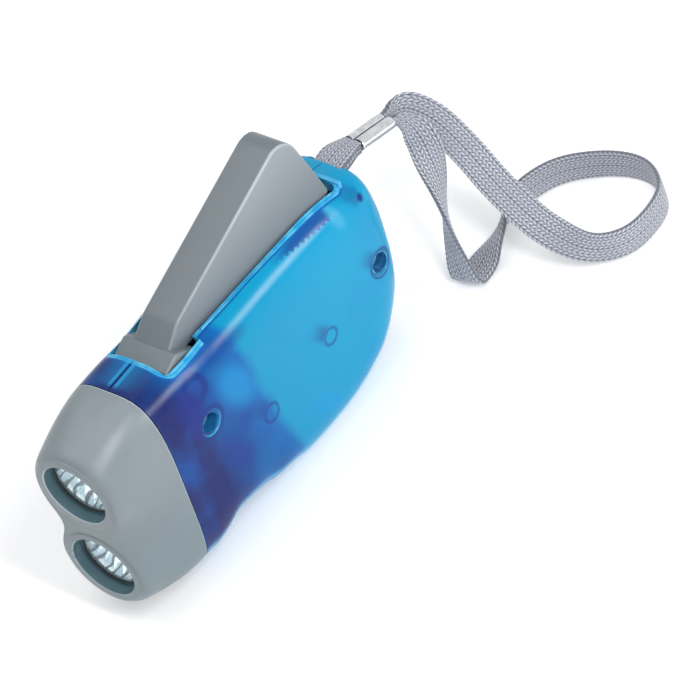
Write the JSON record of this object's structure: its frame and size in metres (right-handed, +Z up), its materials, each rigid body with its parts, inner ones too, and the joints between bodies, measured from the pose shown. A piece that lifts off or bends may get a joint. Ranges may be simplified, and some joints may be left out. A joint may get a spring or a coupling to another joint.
{
  "type": "dynamo flashlight",
  "caption": "Squeeze-powered flashlight: clear blue housing, grey two-lens head, sprung grey lever driving gears and a flywheel generator, slide switch, braided wrist strap.",
  "frame": {"origin": "on the floor plane under the middle of the housing and head together, the cord strap left out", "axes": "+X out of the head along the light beams, +Y to the side that carries the screw heads, +Z up to the lever"},
  "size_m": [0.1667, 0.0623, 0.0758],
  "materials": {
    "blue_clear": "clear blue moulded plastic, polished",
    "grey_plastic": "satin grey moulded plastic",
    "white_nylon": "milky nylon",
    "steel": "bright drawn steel",
    "chrome": "bright plating",
    "black_rubber": "matt black",
    "clear_lens": "clear moulded window",
    "led_resin": "clear resin",
    "board_green": "green circuit board",
    "copper_wire": "lacquered copper",
    "magnet_dark": "dark sintered magnet",
    "strap_braid": "flat lavender-grey braid"
  },
  "bodies": {
    "housing": {"housing_left": "blue_clear", "housing_right": "blue_clear", "head_bezel": "grey_plastic", "lens_ring_upper": "black_rubber", "lens_ring_lower": "black_rubber", "lens_upper": "clear_lens", "lens_lower": "clear_lens", "reflector_upper": "chrome", "reflector_lower": "chrome", "led_upper": "led_resin", "led_lower": "led_resin", "led_board": "board_green", "return_spring": "steel", "main_axle": "steel", "step_up_axle": "steel", "stator_claw_outer": "steel", "stator_claw_inner": "steel", "coil_bobbin": "black_rubber", "coil_winding": "copper_wire", "housing_screw_front": "steel", "housing_screw_tail": "steel", "hinge_pin": "steel", "strap_pin": "steel", "circuit_board": "board_green", "diode_1": "black_rubber", "diode_2": "black_rubber", "diode_3": "black_rubber", "diode_4": "black_rubber", "smoothing_capacitor": "magnet_dark", "cell_1": "chrome", "cell_2": "chrome", "cell_contact_inner": "steel", "cell_contact_outer": "steel", "switch_body": "steel", "strap_neck": "strap_braid", "strap_ferrule": "chrome", "strap_loop": "strap_braid"},
    "lever": {"lever": "grey_plastic", "drive_sector": "grey_plastic"},
    "main_wheel": {"drive_pinion": "white_nylon", "main_gear": "white_nylon", "clutch_pawl": "steel"},
    "step_wheel": {"step_up_gear": "white_nylon"},
    "rotor": {"rotor_shaft": "steel", "rotor_pinion": "white_nylon", "flywheel": "white_nylon", "magnet_ring": "magnet_dark"},
    "switch": {"switch_slider": "grey_plastic"}
  },
  "joints": [
    {"name": "rotor_spin", "type": "hinge", "parent": "housing", "child": "rotor", "pos_m": [0.01659, 0, 0.01957], "axis": [0, -1, 0], "range_deg": [0, 3089.3]},
    {"name": "lever_hinge", "type": "hinge", "parent": "housing", "child": "lever", "pos_m": [0.01975, 0, 0.0499], "axis": [0, -1, 0], "range_deg": [0, 16.2], "stiffness_Nm_per_rad": 0.03, "springref_deg": -28.65, "deforming": ["return_spring"]},
    {"name": "main_gear_spin", "type": "hinge", "parent": "housing", "child": "main_wheel", "pos_m": [-0.02159, 0, 0.02651], "axis": [0, -1, 0], "range_deg": [0, 187.7]},
    {"name": "step_gear_spin", "type": "hinge", "parent": "housing", "child": "step_wheel", "pos_m": [0.003, 0, 0.02591], "axis": [0, -1, 0], "range_deg": [-772.7, 0]},
    {"name": "switch_slide", "type": "slide", "parent": "housing", "child": "switch", "axis": [1, 0, 0], "range_m": [0, 0.0036]}
  ],
  "couplings": [
    {"joint": "main_gear_spin", "follows": "lever_hinge", "ratio": 11.556},
    {"joint": "step_gear_spin", "follows": "lever_hinge", "ratio": -47.667},
    {"joint": "rotor_spin", "follows": "lever_hinge", "ratio": 190.67}
  ]
}
